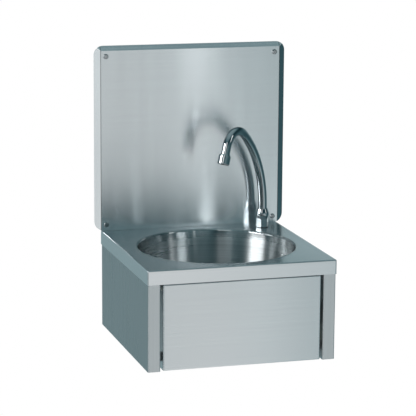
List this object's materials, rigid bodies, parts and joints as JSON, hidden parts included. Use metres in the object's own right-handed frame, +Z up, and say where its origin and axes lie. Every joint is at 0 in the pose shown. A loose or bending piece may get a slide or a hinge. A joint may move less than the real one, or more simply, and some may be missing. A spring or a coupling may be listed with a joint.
{
  "type": "knee operated hand wash basin",
  "caption": "Wall-hung square hand wash basin in folded stainless steel with a round bowl, splashback, swan-neck spout and a knee panel that opens the water.",
  "frame": {"origin": "middle of the four wall-fixing holes, in the wall plane", "axes": "+Z up, +Y towards the wall, +X to the right for someone who stands at the basin"},
  "size_m": [0.4292, 0.43, 0.613],
  "materials": {
    "brushed_sheet": "brushed, grade 304 look",
    "bowl_steel": "satin, turned brushing",
    "bracket_steel": "plain mill finish",
    "screw_steel": "plain stainless",
    "chrome": "polished",
    "valve_brass": "machined",
    "waste_metal": "dull plated",
    "spring_steel": "drawn wire",
    "hose_braid": "woven wire",
    "hose_fitting": "nickel plated",
    "rubber": "matt black",
    "bush_plastic": "natural",
    "jet_plastic": "dark grey"
  },
  "bodies": {
    "basin": {"deck_top": "brushed_sheet", "left_side_panel": "brushed_sheet", "right_side_panel": "brushed_sheet", "splashback": "brushed_sheet", "bowl": "bowl_steel", "wall_rail": "bracket_steel", "valve_bracket": "bracket_steel", "spout_under_washer": "bracket_steel", "splashback_screws": "screw_steel", "hinge_pins": "screw_steel", "hinge_pin_nuts": "screw_steel", "bracket_studs": "screw_steel", "bracket_nuts": "screw_steel", "waste_screw": "screw_steel", "spout_base": "chrome", "spout_collar": "chrome", "waste_strainer": "chrome", "valve_body": "valve_brass", "valve_lock_nut": "valve_brass", "mixing_tee": "valve_brass", "union_nut": "valve_brass", "cold_check_valve": "valve_brass", "hot_check_valve": "valve_brass", "spout_lock_nut": "valve_brass", "waste_body": "waste_metal", "valve_spring": "spring_steel", "supply_hose": "hose_braid", "hose_nuts": "hose_fitting", "hose_ferrules": "hose_fitting", "stop_bumpers": "rubber", "spout_base_seal": "rubber", "waste_top_seal": "rubber", "waste_under_seal": "rubber"},
    "knee_flap": {"knee_panel": "brushed_sheet", "hinge_bushes": "bush_plastic", "stop_tabs": "bracket_steel", "push_bracket": "bracket_steel", "push_screw": "screw_steel", "push_screw_nut": "screw_steel"},
    "valve_plunger": {"valve_button": "chrome"},
    "spout": {"spout_tube": "chrome", "spout_sleeve": "valve_brass", "spout_orings": "rubber", "aerator_housing": "chrome", "aerator_insert": "jet_plastic"}
  },
  "joints": [
    {"name": "knee_panel_pivot", "type": "hinge", "parent": "basin", "child": "knee_flap", "pos_m": [0, -0.3845, 0.015], "axis": [1, 0, 0], "range_deg": [0, 5]},
    {"name": "valve_button_slide", "type": "slide", "parent": "basin", "child": "valve_plunger", "axis": [0, 1, 0], "range_m": [0, 0.0075], "stiffness_N_per_m": 1200, "springref_m": -0.006, "deforming": ["valve_spring"]},
    {"name": "spout_swivel", "type": "hinge", "parent": "basin", "child": "spout", "pos_m": [0.152, -0.052, 0.0765], "axis": [0, 0, 1], "range_deg": [-49, 151]}
  ],
  "couplings": [
    {"joint": "valve_button_slide", "follows": "knee_panel_pivot", "m_per_rad": 0.085}
  ]
}
